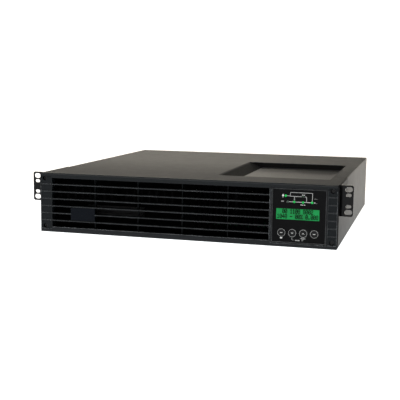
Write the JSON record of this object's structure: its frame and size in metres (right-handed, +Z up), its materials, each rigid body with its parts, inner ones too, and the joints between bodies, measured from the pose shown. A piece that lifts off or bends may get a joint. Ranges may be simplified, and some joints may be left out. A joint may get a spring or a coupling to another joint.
{
  "type": "rackmount ups",
  "caption": "Low, wide rack-mounted power backup cabinet with a slatted front bezel, square display module, side ears and a pull-out battery tray.",
  "frame": {"origin": "bottom centre of the overall box, on the surface the unit stands on", "axes": "+X to the display side, +Y to the back (the front bezel faces -Y), +Z up"},
  "size_m": [0.4826, 0.4672, 0.089],
  "materials": {
    "case_gray": "satin",
    "panel_gray": "satin",
    "zinc_steel": "satin",
    "ear_black": "satin",
    "screw_zinc": "satin",
    "screw_black": "satin",
    "bezel_black": "matte",
    "badge_navy": "gloss",
    "module_black": "matte",
    "fascia_black": "satin",
    "lcd_green": "gloss",
    "led_green": "gloss",
    "led_dark": "gloss",
    "button_black": "matte",
    "board_green": "satin",
    "standoff_brass": "satin",
    "heatsink_alu": "satin",
    "coil_copper": "satin",
    "capacitor_sleeve": "gloss",
    "socket_black": "matte",
    "connector_gray": "matte",
    "port_steel": "polished",
    "fan_black": "satin",
    "guard_steel": "polished",
    "reset_white": "gloss",
    "runner_white": "matte",
    "battery_case": "satin",
    "strap_black": "matte"
  },
  "bodies": {
    "chassis": {"chassis_base": "case_gray", "top_cover": "case_gray", "front_panel": "panel_gray", "rear_panel": "panel_gray", "port_panel": "panel_gray", "power_panel": "panel_gray", "ear_left": "ear_black", "ear_right": "ear_black", "ear_screws": "screw_black", "cover_screws": "screw_black", "battery_bay": "zinc_steel", "tray_runners": "runner_white", "display_well": "module_black", "main_board": "board_green", "board_standoffs": "standoff_brass", "heat_sinks": "heatsink_alu", "inductors": "coil_copper", "bulk_capacitors": "capacitor_sleeve", "bay_connector": "connector_gray", "outlet_1": "socket_black", "outlet_2": "socket_black", "outlet_3": "socket_black", "outlet_4": "socket_black", "power_inlet": "socket_black", "breaker": "socket_black", "serial_port": "port_steel", "usb_port": "port_steel", "slot_cover": "panel_gray", "slot_screws": "screw_zinc", "battery_socket": "connector_gray", "fan_frame_1": "fan_black", "fan_frame_2": "fan_black", "fan_guard_1": "guard_steel", "fan_guard_2": "guard_steel", "fan_screws": "screw_zinc"},
    "battery_module": {"battery_tray": "zinc_steel", "battery_1": "battery_case", "battery_2": "battery_case", "battery_3": "battery_case", "battery_4": "battery_case", "tray_strap": "strap_black", "tray_screws": "screw_zinc", "tray_connector": "connector_gray"},
    "bezel": {"front_bezel": "bezel_black", "badge_plate": "badge_navy", "bezel_screws": "screw_black"},
    "display_module": {"display_housing": "module_black", "display_fascia": "fascia_black", "lcd_panel": "lcd_green", "status_leds": "led_green", "idle_leds": "led_dark", "display_board": "board_green", "button_switches": "port_steel"},
    "key_on": {"button_on": "button_black"},
    "key_down": {"button_down": "button_black"},
    "key_up": {"button_up": "button_black"},
    "key_off": {"button_off": "button_black"},
    "rotor_1": {"fan_rotor_1": "fan_black"},
    "rotor_2": {"fan_rotor_2": "fan_black"},
    "reset_button": {"breaker_button": "reset_white"}
  },
  "joints": [
    {"name": "tray_slide", "type": "slide", "parent": "chassis", "child": "battery_module", "axis": [0, -1, 0], "range_m": [0, 0.31]},
    {"name": "bezel_pull", "type": "slide", "parent": "chassis", "child": "bezel", "axis": [0, -1, 0], "range_m": [0, 0.33]},
    {"name": "display_slide", "type": "slide", "parent": "chassis", "child": "display_module", "axis": [0, -1, 0], "range_m": [0, 0.02]},
    {"name": "press_on", "type": "slide", "parent": "display_module", "child": "key_on", "axis": [0, 1, 0], "range_m": [0, 0.0008], "stiffness_N_per_m": 2500},
    {"name": "press_down", "type": "slide", "parent": "display_module", "child": "key_down", "axis": [0, 1, 0], "range_m": [0, 0.0008], "stiffness_N_per_m": 2500},
    {"name": "press_up", "type": "slide", "parent": "display_module", "child": "key_up", "axis": [0, 1, 0], "range_m": [0, 0.0008], "stiffness_N_per_m": 2500},
    {"name": "press_off", "type": "slide", "parent": "display_module", "child": "key_off", "axis": [0, 1, 0], "range_m": [0, 0.0008], "stiffness_N_per_m": 2500},
    {"name": "fan_spin_1", "type": "hinge", "parent": "chassis", "child": "rotor_1", "pos_m": [-0.177, 0.21295, 0.0423], "axis": [0, 1, 0], "continuous": true},
    {"name": "fan_spin_2", "type": "hinge", "parent": "chassis", "child": "rotor_2", "pos_m": [-0.107, 0.21295, 0.0423], "axis": [0, 1, 0], "continuous": true},
    {"name": "breaker_trip", "type": "slide", "parent": "chassis", "child": "reset_button", "axis": [0, 1, 0], "range_m": [0, 0.003]}
  ],
  "couplings": [
    {"joint": "bezel_pull", "follows": "tray_slide", "ratio": 1.05}
  ]
}
